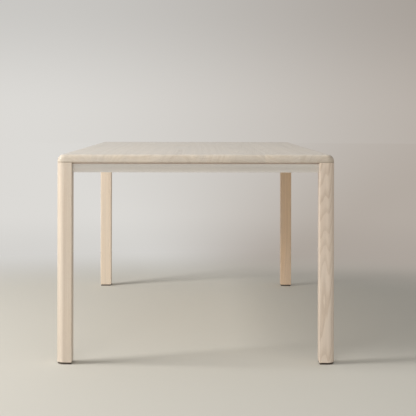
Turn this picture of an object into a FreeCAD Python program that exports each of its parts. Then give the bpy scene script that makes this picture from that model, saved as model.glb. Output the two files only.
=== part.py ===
import FreeCAD, Part
import math
import os

# Parsons dining table in pale washed ash. Eight boards are glued edge to edge into a top with a soft
# rounded edge, square legs stand flush under its corners, and slim set-back aprons join the legs.
# Each leg is drawn up by one bolt through a pressed steel corner bracket, and stands on a screw-in
# levelling foot. Millimetres. X is the width, Y the length, Z is up from the floor, and the origin
# is on the floor under the middle of the top. The feet are drawn screwed right in.

Vector = FreeCAD.Vector
UP = Vector(0, 0, 1)
DOWN = Vector(0, 0, -1)
CENTRE = Vector(0, 0, 0)
RIGHT_ANGLE = 90

# Whole table
table_length = 1829.0
table_width = 1016.0
table_height = 766.5

# Top: boards glued edge to edge, then shaped as one slab
top_thickness = 30.0
board_count = 8
edge_land = 2.0
under_edge_ease = 3.5
face_corner_radius = 3.0
edge_radius = top_thickness - edge_land - under_edge_ease
corner_radius = edge_radius + face_corner_radius

# Legs: square posts whose outer corner follows the corner of the top
leg_side = 56.0
leg_edge_radius = 3.0
leg_end_ease = 1.5
leg_flat_depth = 8.0

# Aprons: slim rails between the legs, set back from the legs' outer faces
apron_height = 36.0
apron_thickness = 22.0
apron_setback = 16.0
apron_edge_ease = 1.0
apron_shadow_height = 4.5
apron_shadow_depth = 3.0
apron_inner = apron_setback + apron_thickness

# Cross rails: battens let into the side aprons, which keep the top flat
rail_width = 24.0
rail_height = 32.0
rail_housing_depth = 6.0
rail_edge_ease = 2.0
rail_counterbore_depth = 14.0

# Corner brackets: pressed strip bent across each corner, with a lip at each end in a saw kerf
bracket_gauge = 2.5
bracket_margin = 4.0
bracket_gap = 12.0
bracket_wing = 34.0
bracket_lip = 7.0
bracket_bend_radius = 1.5
kerf_clearance = 0.25

# Hanger bolts, with a washer and a hexagon nut on each
bolt_diameter = 8.0
bolt_cover = 17.0
bolt_overhang = 5.0
bolt_tip_length = 7.0
bolt_end_chamfer = 0.8
bolt_hole_clearance = 0.5
washer_diameter = 20.0
washer_thickness = 1.6
nut_across_flats = 13.0
nut_height = 6.5
nut_clearance = 0.15

# Wood screws, one size throughout apart from their length
screw_diameter = 4.0
screw_head_diameter = 8.0
screw_head_height = 2.8
screw_head_round = 1.6
screw_tip_length = 5.0
screw_hole_clearance = 0.3
pilot_clearance = 0.1
top_screw_cover = 12.0
apron_screw_cover = 6.0
bracket_screw_pitch = 16.0

# Clips that hold the top down on the aprons and let it swell and shrink
clip_gauge = 1.6
clip_width = 20.0
clip_drop = 11.0
clip_lip = 8.0
clip_stand_off = 2.0
clip_flange = 22.0
clip_bend_radius = 1.0
clip_play = 3.0
side_clip_count = 4
end_clip_count = 2

# Slotted fixings of the cross rails, one under each board
slot_play = 3.0
slot_clearance = 0.4
rail_washer_diameter = 12.0
rail_washer_thickness = 1.0

# Levelling feet: a flanged insert in each leg, a screwed stem and a moulded pad
insert_diameter = 12.0
insert_length = 20.0
insert_flange_diameter = 22.0
insert_flange_thickness = 1.5
thread_clearance = 0.1
stem_diameter = 8.0
stem_spare = 3.0
stem_end_chamfer = 0.8
stem_neck_diameter = 6.0
stem_head_diameter = 11.0
stem_head_height = 1.2
collar_across_flats = 14.0
collar_height = 2.3
foot_travel = 12.5
foot_play = 0.3
foot_bore_spare = 3.0
pad_inset = 2.0
pad_corner_radius = 3.0
pad_height = 3.6
pad_floor = 0.9
pad_edge_radius = 1.0

# Cuts run past the faces that they open, and places nearer than this count as one
overrun = 1.0
same_place = 0.001
# A fillet takes at most this share of the radius or wall that it runs along
fillet_share = 0.9
# Across the corners of a hexagon, as a share of the size across its flats
hexagon_corner_share = 2.0 / math.sqrt(3.0)

# Levels and places that several pieces share
under_top = table_height - top_thickness
foot_gap = pad_height + foot_play + collar_height + foot_play
apron_bottom = under_top - apron_height
bolt_level = under_top - apron_height / 2
board_width = table_width / board_count
side_apron_length = table_length - 2 * leg_side
end_apron_length = table_width - 2 * leg_side
side_clip_pitch = side_apron_length / side_clip_count
end_clip_pitch = end_apron_length / end_clip_count
rail_place = side_clip_pitch
diagonal = Vector(1, 1, 0).normalize()
leg_flat_place = leg_side * math.sqrt(2) - leg_flat_depth
# The bracket's web stands off the leg's flat, and inside its folds it has room for the washer
web_half_width = washer_diameter / 2 + bracket_bend_radius * math.tan(math.pi / 8)
nearest_web = (apron_inner + bracket_gauge) * math.sqrt(2) + web_half_width - bracket_gauge
bracket_place = max(leg_flat_place + bracket_gap, nearest_web)
stem_length = insert_length + foot_travel + stem_spare

# The legs' outer corners, as sides in X and Y, each a quarter turn on from the one before
corners = {
    "front_left": (-1, -1),
    "front_right": (1, -1),
    "rear_right": (1, 1),
    "rear_left": (-1, 1),
}


def at_corner(shape, corner):
    """A copy of a corner piece, drawn with the leg's outer corner over the origin, at one corner."""
    side_x, side_y = corners[corner]
    quarter_turns = list(corners).index(corner)
    return at_place(shape, side_x * table_width / 2, side_y * table_length / 2, quarter_turns)


def at_place(shape, x, y, quarter_turns):
    """A copy of a shape, turned about the upright through the origin and moved."""
    placed = shape.copy()
    placed.rotate(CENTRE, UP, quarter_turns * RIGHT_ANGLE)
    placed.translate(Vector(x, y, 0))
    return placed


def pointed(shape, place, direction):
    """A copy of a shape drawn along +Z, with its origin at a place and +Z along a direction."""
    placed = shape.copy()
    placed.Placement = FreeCAD.Placement(place, FreeCAD.Rotation(UP, direction))
    return placed


def block(x_low, x_high, y_low, y_high, z_low, z_high):
    """A square-edged block between two corners."""
    return Part.makeBox(x_high - x_low, y_high - y_low, z_high - z_low, Vector(x_low, y_low, z_low))


def plan_prism(points, z_low, z_high):
    """An outline drawn in plan, raised between two levels."""
    outline = [Vector(x, y, z_low) for x, y in points]
    face = Part.Face(Part.makePolygon(outline + outline[:1]))
    return face.extrude(Vector(0, 0, z_high - z_low))


def rounded_post(x_low, x_high, y_low, y_high, radii, z_low, z_high):
    """A post on a rectangle whose four corners, anticlockwise from the lowest, have their own radii."""
    places = ((x_low, y_low, 1, 1), (x_high, y_low, -1, 1), (x_high, y_high, -1, -1), (x_low, y_high, 1, -1))
    arcs = []
    for quarter, ((x, y, step_x, step_y), radius) in enumerate(zip(places, radii)):
        centre = Vector(x + step_x * radius, y + step_y * radius, z_low)
        start = math.pi + quarter * math.pi / 2
        arcs.append(Part.Arc(Part.Circle(centre, UP, radius), start, start + math.pi / 2))
    edges = []
    for arc, following in zip(arcs, arcs[1:] + arcs[:1]):
        edges.append(arc.toShape())
        edges.append(Part.LineSegment(arc.EndPoint, following.StartPoint).toShape())
    return Part.Face(Part.Wire(edges)).extrude(Vector(0, 0, z_high - z_low))


def turned(points):
    """A solid turned about +Z from its half profile, given as radius and height."""
    profile = [Vector(radius, 0, height) for radius, height in points]
    return Part.Face(Part.makePolygon(profile + profile[:1])).revolve(CENTRE, UP, 360)


def hexagon_prism(across_flats, z_low, z_high):
    """A six-sided prism about +Z."""
    corner = across_flats * hexagon_corner_share / 2
    turns = [math.pi / 3 * side for side in range(6)]
    return plan_prism([(corner * math.cos(t), corner * math.sin(t)) for t in turns], z_low, z_high)


def slot_prism(length, width, z_low, z_high):
    """A round-ended slot along X, about +Z."""
    half = (length - width) / 2
    ends = [Part.makeCylinder(width / 2, z_high - z_low, Vector(x, 0, z_low)) for x in (-half, half)]
    return block(-half, half, -width / 2, width / 2, z_low, z_high).fuse(ends).removeSplitter()


def edges_at(shape, level):
    """The edges of a shape that lie level at one height."""
    return [e for e in shape.Edges if all(abs(v.Point.z - level) < same_place for v in e.Vertexes)]


def edges_along(shape, level, direction):
    """The straight edges of a shape at one height that run along a direction."""
    level_edges = [e for e in edges_at(shape, level) if len(e.Vertexes) == 2]
    return [e for e in level_edges if e.tangentAt(e.FirstParameter).cross(direction).Length < same_place]


def rounded_folds(strip, points, radius):
    """A copy of a bent strip with some folds rounded, each given by a point on the fold's edge."""
    marks = Part.makeCompound([Part.Vertex(point) for point in points])
    return strip.makeFillet(radius, [e for e in strip.Edges if e.distToShape(marks)[0] < same_place])


def wood_screw(length):
    """A pan-head wood screw with its seat at the origin, its head up and its point down."""
    shank = screw_diameter / 2
    head = screw_head_diameter / 2
    tip = min(screw_tip_length, length * fillet_share)
    points = [(0, -length), (shank, tip - length), (shank, 0), (head, 0), (head, screw_head_height)]
    screw = turned(points + [(0, screw_head_height)])
    round_off = min(screw_head_round, screw_head_height * fillet_share)
    return screw.makeFillet(round_off, edges_at(screw, screw_head_height))


def pilot_hole(length):
    """The hole that a wood screw of one length fills, from its seat downwards."""
    return Part.makeCylinder(screw_diameter / 2 + pilot_clearance, length, CENTRE, DOWN)


def washer(outer_diameter, hole_diameter, thickness):
    """A flat washer standing on the origin."""
    ring = Part.makeCylinder(outer_diameter / 2, thickness)
    return ring.cut(Part.makeCylinder(hole_diameter / 2, thickness))


def save(name, shape):
    shape.exportStep("parts/" + name + ".step")


os.makedirs("parts", exist_ok=True)

# Places of the clips: middle of each clip on its apron's inner face, and quarter turns from facing +X
side_clip_places = [side_clip_pitch * (i - (side_clip_count - 1) / 2) for i in range(side_clip_count)]
end_clip_places = [end_clip_pitch * (i - (end_clip_count - 1) / 2) for i in range(end_clip_count)]
inner_x = table_width / 2 - apron_inner
inner_y = table_length / 2 - apron_inner
clip_places = [(-inner_x, y, 0) for y in side_clip_places] + [(inner_x, y, 2) for y in side_clip_places]
clip_places += [(x, -inner_y, 1) for x in end_clip_places] + [(x, inner_y, 3) for x in end_clip_places]
clip_screw_offset = clip_stand_off + clip_gauge + (clip_flange - clip_gauge) / 2

# Places of the cross-rail screws: under the middle of each board, on both rails
board_middles = [board_width * (i + 0.5) - table_width / 2 for i in range(board_count)]
rail_screw_places = [(x, y) for y in (-rail_place, rail_place) for x in board_middles]

# Screw lengths: each point stops short of the face beyond it
top_screw_bite = top_thickness - top_screw_cover
rail_land = rail_height - rail_counterbore_depth
clip_screw = wood_screw(clip_gauge + top_screw_bite)
rail_screw = wood_screw(rail_washer_thickness + rail_land + top_screw_bite)
bracket_screw = wood_screw(bracket_gauge + apron_thickness - apron_screw_cover)

# Top: one rounded slab, drilled from below for the screws, then parted along the glue lines
slab = rounded_post(
    -table_width / 2, table_width / 2, -table_length / 2, table_length / 2,
    [corner_radius] * 4, under_top, table_height,
)
slab = slab.makeFillet(edge_radius, edges_at(slab, table_height))
slab = slab.makeFillet(under_edge_ease, edges_at(slab, under_top))
top_pilot = pilot_hole(top_screw_bite)
clip_screw_places = []
for x, y, quarter_turns in clip_places:
    reach = FreeCAD.Rotation(UP, quarter_turns * RIGHT_ANGLE).multVec(Vector(clip_screw_offset, 0, 0))
    clip_screw_places.append((x + reach.x, y + reach.y))
slab_holes = [
    pointed(top_pilot, Vector(x, y, under_top), DOWN) for x, y in clip_screw_places + rail_screw_places
]
slab = slab.cut(slab_holes)
for number, middle in enumerate(board_middles, 1):
    slice_block = block(
        middle - board_width / 2, middle + board_width / 2,
        -table_length / 2 - overrun, table_length / 2 + overrun,
        under_top - overrun, table_height + overrun,
    )
    save("top_board_%d" % number, slab.common(slice_block))

# Leg: drawn with its outer corner over the origin and the table's inside towards +X and +Y
leg_ease = min(leg_end_ease, leg_edge_radius * fillet_share)
leg_radii = [corner_radius, leg_edge_radius, leg_edge_radius, leg_edge_radius]
leg = rounded_post(0, leg_side, 0, leg_side, leg_radii, foot_gap, under_top)
leg = leg.makeFillet(leg_ease, edges_at(leg, foot_gap) + edges_at(leg, under_top))
# A flat across the inner corner lets the bolt stand square, and the bolt screws into the leg there
flat_sum = leg_flat_place * math.sqrt(2)
past_side = leg_side + overrun
flat_outline = [(flat_sum - past_side, past_side), (past_side, flat_sum - past_side), (past_side, past_side)]
leg = leg.cut(plan_prism(flat_outline, apron_bottom, under_top + overrun))
bolt_tip_place = corner_radius * (math.sqrt(2) - 1) + bolt_cover
bolt_tip = diagonal * bolt_tip_place + UP * bolt_level
bolt_bite = leg_flat_place - bolt_tip_place
bolt_bore = Part.makeCylinder(bolt_diameter / 2 + pilot_clearance, bolt_bite + overrun, bolt_tip, diagonal)
# The foot's bore: wide at the mouth for the insert's flange, then deep enough for the whole stem
foot_middle = Vector(leg_side / 2, leg_side / 2, 0)
foot_bore = turned([
    (0, foot_gap - overrun),
    (insert_flange_diameter / 2 + pilot_clearance, foot_gap - overrun),
    (insert_flange_diameter / 2 + pilot_clearance, foot_gap + insert_flange_thickness),
    (insert_diameter / 2 + pilot_clearance, foot_gap + insert_flange_thickness),
    (insert_diameter / 2 + pilot_clearance, foot_gap + stem_length + foot_bore_spare),
    (0, foot_gap + stem_length + foot_bore_spare),
])
foot_bore.translate(foot_middle)
leg = leg.cut([bolt_bore, foot_bore])
for corner in corners:
    save("leg_" + corner, at_corner(leg, corner))

# Corner bracket, in plan: a web square to the diagonal, two wings flat on the aprons and two lips
web_sum = bracket_place * math.sqrt(2)
wing_start = web_sum - apron_inner
wing_end = wing_start + bracket_wing
wing_inside = apron_inner + bracket_gauge
web_inside = web_sum + bracket_gauge * math.sqrt(2) - wing_inside
lip_end = apron_inner - bracket_lip
half_bracket = [
    (wing_inside, web_inside), (wing_inside, wing_end), (lip_end, wing_end),
    (lip_end, wing_end - bracket_gauge), (apron_inner, wing_end - bracket_gauge), (apron_inner, wing_start),
]
other_half = [(y, x) for x, y in reversed(half_bracket)]
bracket_bottom = apron_bottom + bracket_margin
bracket_top = under_top - bracket_margin
bracket = plan_prism(half_bracket + other_half, bracket_bottom, bracket_top)
inside_folds = [(wing_inside, web_inside), (apron_inner, wing_end - bracket_gauge)]
outside_folds = [(apron_inner, wing_start), (wing_inside, wing_end)]
bracket_outside_radius = bracket_bend_radius + bracket_gauge
for folds, radius in ((inside_folds, bracket_bend_radius), (outside_folds, bracket_outside_radius)):
    both_wings = folds + [(y, x) for x, y in folds]
    bracket = rounded_folds(bracket, [Vector(x, y, bolt_level) for x, y in both_wings], radius)
# Holes for the bolt and for two screws in each wing
bolt_hole_start = diagonal * (bracket_place - overrun) + UP * bolt_level
bolt_hole_radius = bolt_diameter / 2 + bolt_hole_clearance
bracket_cut_depth = bracket_gauge + 2 * overrun
bracket_holes = [Part.makeCylinder(bolt_hole_radius, bracket_cut_depth, bolt_hole_start, diagonal)]
screw_middle = (wing_start + wing_end) / 2
wing_screws = []
for along in (screw_middle - bracket_screw_pitch / 2, screw_middle + bracket_screw_pitch / 2):
    wing_screws.append((Vector(wing_inside, along, bolt_level), Vector(1, 0, 0)))
    wing_screws.append((Vector(along, wing_inside, bolt_level), Vector(0, 1, 0)))
screw_hole_radius = screw_diameter / 2 + screw_hole_clearance
for seat, outward in wing_screws:
    start = seat + outward * overrun
    bracket_holes.append(Part.makeCylinder(screw_hole_radius, bracket_cut_depth, start, -outward))
bracket = bracket.cut(bracket_holes)
for corner in corners:
    save("corner_bracket_" + corner, at_corner(bracket, corner))

# Bracket screws, and the pilot holes and saw kerfs that the bracket needs in the aprons
bracket_pilot = pilot_hole(bracket_gauge + apron_thickness - apron_screw_cover)
corner_screws = [pointed(bracket_screw, seat, outward) for seat, outward in wing_screws]
corner_cuts = [pointed(bracket_pilot, seat, outward) for seat, outward in wing_screws]
kerf_start = wing_end - bracket_gauge - bracket_bend_radius - kerf_clearance
kerf = (
    lip_end - kerf_clearance, apron_inner + overrun,
    kerf_start, wing_end + kerf_clearance,
    apron_bottom - overrun, under_top + overrun,
)
corner_cuts.append(block(*kerf))
corner_cuts.append(block(*kerf[2:4], *kerf[:2], *kerf[4:]))
# Beside a slim leg, the bolt needs its way past the ends of the aprons
corner_cuts.append(Part.makeCylinder(bolt_hole_radius, bracket_place, UP * bolt_level, diagonal))
save("bracket_screws", Part.makeCompound([at_corner(s, c) for c in corners for s in corner_screws]))

# Hanger bolts: a wood thread in the leg and a machine thread through the bracket, washer and nut
web_inner_face = bracket_place + bracket_gauge
nut_seat = web_inner_face + washer_thickness
bolt_end = nut_seat + nut_height + bolt_overhang
bolt_length = bolt_end - bolt_tip_place
bolt_radius = bolt_diameter / 2
bolt = turned([
    (0, 0),
    (bolt_radius, bolt_tip_length),
    (bolt_radius, bolt_length - bolt_end_chamfer),
    (bolt_radius - bolt_end_chamfer, bolt_length),
    (0, bolt_length),
])
bolt = pointed(bolt, bolt_tip, diagonal)
bolt_washer = washer(washer_diameter, bolt_diameter + 2 * nut_clearance, washer_thickness)
bolt_washer = pointed(bolt_washer, diagonal * web_inner_face + UP * bolt_level, diagonal)
nut = hexagon_prism(nut_across_flats, 0, nut_height)
nut = nut.cut(Part.makeCylinder(bolt_radius + nut_clearance, nut_height))
nut = pointed(nut, diagonal * nut_seat + UP * bolt_level, diagonal)
save("hanger_bolts", Part.makeCompound([at_corner(bolt, corner) for corner in corners]))
save("hanger_bolt_washers", Part.makeCompound([at_corner(bolt_washer, corner) for corner in corners]))
save("hanger_bolt_nuts", Part.makeCompound([at_corner(nut, corner) for corner in corners]))

# Clips: a lip hooked under the wood above a short kerf, a riser, and a flange screwed to the top
riser_face = clip_stand_off + clip_gauge
clip_outline = [
    (-clip_lip, -clip_drop - clip_gauge), (riser_face, -clip_drop - clip_gauge), (riser_face, -clip_gauge),
    (clip_stand_off + clip_flange, -clip_gauge), (clip_stand_off + clip_flange, 0), (clip_stand_off, 0),
    (clip_stand_off, -clip_drop), (-clip_lip, -clip_drop),
]
clip_profile = [Vector(x, -clip_width / 2, under_top + z) for x, z in clip_outline]
clip = Part.Face(Part.makePolygon(clip_profile + clip_profile[:1])).extrude(Vector(0, clip_width, 0))
inside_folds = [(riser_face, -clip_gauge), (clip_stand_off, -clip_drop)]
outside_folds = [(clip_stand_off, 0), (riser_face, -clip_drop - clip_gauge)]
for folds, radius in ((inside_folds, clip_bend_radius), (outside_folds, clip_bend_radius + clip_gauge)):
    clip = rounded_folds(clip, [Vector(x, 0, under_top + z) for x, z in folds], radius)
clip_hole_start = Vector(clip_screw_offset, 0, under_top + overrun)
clip = clip.cut(Part.makeCylinder(screw_hole_radius, clip_gauge + 2 * overrun, clip_hole_start, DOWN))
clip_kerf = block(
    -clip_lip - clip_play, overrun,
    -clip_width / 2 - clip_play, clip_width / 2 + clip_play,
    under_top - clip_drop - clip_gauge - kerf_clearance, under_top - clip_drop,
)
clip_seat = under_top - clip_gauge
clip_screws = [pointed(clip_screw, Vector(x, y, clip_seat), DOWN) for x, y in clip_screw_places]
save("top_clips", Part.makeCompound([at_place(clip, *place) for place in clip_places]))
save("top_clip_screws", Part.makeCompound(clip_screws))
clip_kerfs = [at_place(clip_kerf, *place) for place in clip_places]

# Cross rails: let into housings in the side aprons, with a slotted and counterbored hole per board
rail_reach = inner_x + rail_housing_depth
rail_bottom = under_top - rail_height
slot_width = screw_diameter + 2 * slot_clearance
counterbore_width = rail_washer_diameter + 2 * slot_clearance
slot = slot_prism(slot_width + 2 * slot_play, slot_width, rail_bottom - overrun, under_top + overrun)
counterbore = slot_prism(
    counterbore_width + 2 * slot_play, counterbore_width,
    rail_bottom - overrun, rail_bottom + rail_counterbore_depth,
)
housings = []
rail_seat = rail_bottom + rail_counterbore_depth
for name, y in (("front", -rail_place), ("rear", rail_place)):
    sides = (y - rail_width / 2, y + rail_width / 2)
    rail_block = block(-rail_reach, rail_reach, *sides, rail_bottom, under_top)
    housings.append(rail_block)
    rail = rail_block.makeFillet(rail_edge_ease, edges_along(rail_block, rail_bottom, Vector(1, 0, 0)))
    rail_cuts = [at_place(cut, x, y, 0) for cut in (slot, counterbore) for x in board_middles]
    save("cross_rail_" + name, rail.cut(rail_cuts))
rail_washer = washer(rail_washer_diameter, screw_diameter + 2 * pilot_clearance, rail_washer_thickness)
rail_washers = [pointed(rail_washer, Vector(x, y, rail_seat), DOWN) for x, y in rail_screw_places]
screw_seat = rail_seat - rail_washer_thickness
rail_screws = [pointed(rail_screw, Vector(x, y, screw_seat), DOWN) for x, y in rail_screw_places]
save("cross_rail_washers", Part.makeCompound(rail_washers))
save("cross_rail_screws", Part.makeCompound(rail_screws))

# Aprons: their ends butt on the legs. A rebate along the upper outer edge leaves a shadow line under the
# top, and all other cuts are on the inner faces
apron_cuts = [at_corner(cut, corner) for corner in corners for cut in corner_cuts] + clip_kerfs + housings
shadow_levels = (under_top - apron_shadow_height, under_top + overrun)
for name, side in (("front", -1), ("rear", 1)):
    outer_face = side * (table_length / 2 - apron_setback)
    faces = sorted((side * inner_y, outer_face))
    apron = block(-end_apron_length / 2, end_apron_length / 2, *faces, apron_bottom, under_top)
    apron = apron.makeFillet(apron_edge_ease, edges_along(apron, apron_bottom, Vector(1, 0, 0)))
    shadow_faces = sorted((outer_face + side * overrun, outer_face - side * apron_shadow_depth))
    shadow_line = block(-table_width / 2, table_width / 2, *shadow_faces, *shadow_levels)
    save("apron_" + name, apron.cut(apron_cuts + [shadow_line]))
for name, side in (("left", -1), ("right", 1)):
    outer_face = side * (table_width / 2 - apron_setback)
    faces = sorted((side * inner_x, outer_face))
    apron = block(*faces, -side_apron_length / 2, side_apron_length / 2, apron_bottom, under_top)
    apron = apron.makeFillet(apron_edge_ease, edges_along(apron, apron_bottom, Vector(0, 1, 0)))
    shadow_faces = sorted((outer_face + side * overrun, outer_face - side * apron_shadow_depth))
    shadow_line = block(*shadow_faces, -table_length / 2, table_length / 2, *shadow_levels)
    save("apron_" + name, apron.cut(apron_cuts + [shadow_line]))

# Inserts: a flange let in flush with the leg's end, a barrel in the bore and a threaded hole through
insert = turned([
    (stem_diameter / 2 + thread_clearance, foot_gap),
    (insert_flange_diameter / 2, foot_gap),
    (insert_flange_diameter / 2, foot_gap + insert_flange_thickness),
    (insert_diameter / 2, foot_gap + insert_flange_thickness),
    (insert_diameter / 2, foot_gap + insert_length),
    (stem_diameter / 2 + thread_clearance, foot_gap + insert_length),
])
insert.translate(foot_middle)
save("leg_inserts", Part.makeCompound([at_corner(insert, corner) for corner in corners]))

# Stems: a button head held in the pad, a hexagon collar for the spanner and the screwed shank
head_low = pad_floor + foot_play
head_high = head_low + stem_head_height
collar_low = pad_height + foot_play
collar_high = collar_low + collar_height
stem_top = foot_gap + stem_length
stem = turned([
    (0, head_low),
    (stem_head_diameter / 2, head_low),
    (stem_head_diameter / 2, head_high),
    (stem_neck_diameter / 2, head_high),
    (stem_neck_diameter / 2, collar_low),
    (stem_diameter / 2, collar_low),
    (stem_diameter / 2, stem_top - stem_end_chamfer),
    (stem_diameter / 2 - stem_end_chamfer, stem_top),
    (0, stem_top),
])
stem = stem.fuse(hexagon_prism(collar_across_flats, collar_low, collar_high)).removeSplitter()
stem.translate(foot_middle)
for corner in corners:
    save("foot_stem_" + corner, at_corner(stem, corner))

# Pads: moulded plates on the outline of the leg's end, a little inside it. The lip of each snaps over the
# stem's button head and leaves it free to turn
pad_round = min(pad_edge_radius, pad_height / 2 * fillet_share)
pad_far = leg_side - pad_inset
pad_radii = [corner_radius - pad_inset, pad_corner_radius, pad_corner_radius, pad_corner_radius]
pad = rounded_post(pad_inset, pad_far, pad_inset, pad_far, pad_radii, 0, pad_height)
pad = pad.makeFillet(pad_round, edges_at(pad, 0) + edges_at(pad, pad_height))
socket = turned([
    (0, pad_floor),
    (stem_head_diameter / 2 + foot_play, pad_floor),
    (stem_head_diameter / 2 + foot_play, head_high + foot_play),
    (stem_neck_diameter / 2 + foot_play, head_high + foot_play),
    (stem_neck_diameter / 2 + foot_play, pad_height + overrun),
    (0, pad_height + overrun),
])
socket.translate(foot_middle)
pad = pad.cut(socket)
for corner in corners:
    save("foot_pad_" + corner, at_corner(pad, corner))
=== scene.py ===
import math

import bmesh
import bpy
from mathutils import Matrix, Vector


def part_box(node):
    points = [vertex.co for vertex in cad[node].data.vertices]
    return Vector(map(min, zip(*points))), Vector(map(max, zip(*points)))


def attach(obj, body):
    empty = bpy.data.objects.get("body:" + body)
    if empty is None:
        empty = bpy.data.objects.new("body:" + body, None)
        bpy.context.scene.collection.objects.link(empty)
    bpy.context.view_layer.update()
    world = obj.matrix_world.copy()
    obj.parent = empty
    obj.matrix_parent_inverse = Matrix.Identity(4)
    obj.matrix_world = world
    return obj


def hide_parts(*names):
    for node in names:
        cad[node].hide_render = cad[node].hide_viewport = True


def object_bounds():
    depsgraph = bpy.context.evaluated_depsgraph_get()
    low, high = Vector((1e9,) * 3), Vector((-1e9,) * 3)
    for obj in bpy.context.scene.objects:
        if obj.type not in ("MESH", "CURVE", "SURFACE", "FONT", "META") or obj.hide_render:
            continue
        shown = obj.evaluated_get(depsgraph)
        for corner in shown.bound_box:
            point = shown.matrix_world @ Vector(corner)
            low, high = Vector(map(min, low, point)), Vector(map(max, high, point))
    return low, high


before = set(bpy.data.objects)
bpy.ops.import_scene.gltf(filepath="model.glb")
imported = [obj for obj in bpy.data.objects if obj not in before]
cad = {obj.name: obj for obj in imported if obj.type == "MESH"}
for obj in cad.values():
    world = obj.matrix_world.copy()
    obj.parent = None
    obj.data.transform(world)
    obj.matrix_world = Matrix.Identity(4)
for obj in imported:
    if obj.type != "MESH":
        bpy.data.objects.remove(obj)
cad_low, cad_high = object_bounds()

# Top boards. Eight planed ash boards run the length of the table and are glued edge to edge, and the slab
# is then rounded over as one piece, so its short edges show end grain. A thin white wash under matt
# lacquer leaves the rings showing. Each board is another cut of the tree, with a tone of its own. Their
# upward faces also get a painted sheen: a pale grey blended in where the lacquer's reflection would be.
BOARD_COUNT = 8
BOARD_PALE = (0.72, 0.635, 0.53)
BOARD_RING = (0.575, 0.475, 0.37)
BOARD_RING_WIDTH = 0.0034
BOARD_RUB_REACH = 0.016
BOARD_LACQUER = 0.75
BOARD_SEED = 1.3
BOARD_SEED_STEP = 3.7
LACQUER_ROUGHNESS = 0.21
LACQUER_IOR = 1.3
# Painted sheen: the pale grey that upward faces are blended towards, from which facing, and how much
FACE_SHEEN_COLOUR = (0.81, 0.775, 0.715)
SHEEN_FROM = 0.70
FACE_SHEEN = 0.42
ALONG_LENGTH = (0.0, 0.0, math.radians(90))
# Per board: the tree's heart across and through from the board's middle, its lean along, and the tone
BOARD_CUTS = (
    (0.020, -0.085, 0.030, 1.00),
    (-0.110, -0.060, 0.012, 0.995),
    (0.010, 0.120, -0.036, 1.01),
    (-0.024, -0.070, -0.024, 0.97),
    (0.130, 0.050, 0.010, 0.985),
    (0.006, -0.105, 0.040, 0.95),
    (-0.030, 0.090, 0.028, 0.985),
    (-0.070, -0.080, -0.016, 0.92),
)


def add(tree, kind, inputs=None, **settings):
    """One node in a tree. Inputs go by name or number: a socket is linked, anything else is its value."""
    made = tree.nodes.new(kind)
    for name, value in settings.items():
        setattr(made, name, value)
    for key, value in (inputs or {}).items():
        if isinstance(value, bpy.types.NodeSocket):
            tree.links.new(value, made.inputs[key])
        else:
            made.inputs[key].default_value = value
    return made


def reckon(tree, operation, *terms):
    """The result of one step of arithmetic on sockets and numbers."""
    return add(tree, "ShaderNodeMath", dict(enumerate(terms)), operation=operation).outputs[0]


def raised(tree, level, value, share):
    """A level with a share of some value added to it."""
    return reckon(tree, "MULTIPLY_ADD", value, share, level)


def swayed(tree, level, chance, share):
    """A level that a random value, counted from its middle, moves up or down by a share."""
    return raised(tree, level, reckon(tree, "SUBTRACT", chance, 0.5), share)


def between(tree, value, low, high, from_low, to_high, passage="SMOOTHSTEP"):
    """A value's passage from one level to another while it goes from low to high, smooth or straight."""
    ends = {"Value": value, "From Min": low, "From Max": high, "To Min": from_low, "To Max": to_high}
    return add(tree, "ShaderNodeMapRange", ends, interpolation_type=passage).outputs[0]


def blend(tree, share, first, second):
    """A colour between two others."""
    return add(tree, "ShaderNodeMix", {0: share, 6: first, 7: second}, data_type="RGBA").outputs[2]


def speckle(tree, place, spots, start, detail=1.0):
    """Soft random values over a place: so many spots to the metre along each axis, a start, a fineness."""
    spread = add(tree, "ShaderNodeVectorMath", {0: place, 1: spots, 2: start}, operation="MULTIPLY_ADD")
    noise = {"Vector": spread.outputs[0], "Scale": 1.0, "Detail": detail}
    return add(tree, "ShaderNodeTexNoise", noise).outputs


def open_group(name, kind, inputs, outputs):
    """A node group with its named sockets: the tree, the sockets it reads and those it fills."""
    tree = bpy.data.node_groups.new(name, kind)
    for way, sockets in (("INPUT", inputs), ("OUTPUT", outputs)):
        for label, socket in sockets.items():
            tree.interface.new_socket(name=label, in_out=way, socket_type="NodeSocket" + socket)
    return tree, add(tree, "NodeGroupInput").outputs, add(tree, "NodeGroupOutput").inputs


# How ash grows: yearly rings about the tree's heart, each with a band of open pores, cut along or across.
# Spots are to the metre along, across and through the wood. Shares say how far each effect changes what
# it acts on.
HEART_SPOTS = (1.3, 0.0, 0.0)
HEART_WANDER = 0.05
RIPPLE_SPOTS = (2.6, 26.0, 26.0)
RIPPLE_HEIGHT = 0.007
SEASON_SPOTS = 70.0
SEASON_SWAY = 2.4
SPRING_STARTS = (0.0, 0.10)
SPRING_ENDS = (0.05, 0.62)
YEAR_LEAST = 0.4
YEAR_SPREAD = 0.6
DARK_SEASONS = (0.42, 0.66)
DARK_SEASON_SHARE = 0.35
STREAK_SPOTS = (0.9, 60.0, 60.0)
STREAK_SHARE = 0.34
CLOUD_SPOTS = (2.4, 11.0, 11.0)
CLOUD_SHARE = 0.16
CLOUD_TINT = 0.5
FIBRE_SPOTS = (60.0, 1500.0, 1500.0)
FIBRE_SHARE = 0.08
PORE_SPOTS = (130.0, 2400.0, 2400.0)
PORE_RIM = (0.56, 0.70)
PORE_SHARE = -0.16
PORES_ALWAYS = 0.2
PORES_IN_SPRING = 0.8
END_RING_SHARE = -0.42
END_STREAK_SHARE = -0.24
END_SHARE = -0.14
WOOD_ROUGHNESS = 0.50
CLOUD_ROUGHNESS = 0.10
PORE_ROUGHNESS = 0.10
END_ROUGHNESS = 0.08
FIBRE_HEIGHT = 0.25
PORE_HEIGHT = -0.7
RING_HEIGHT = -0.25
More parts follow.
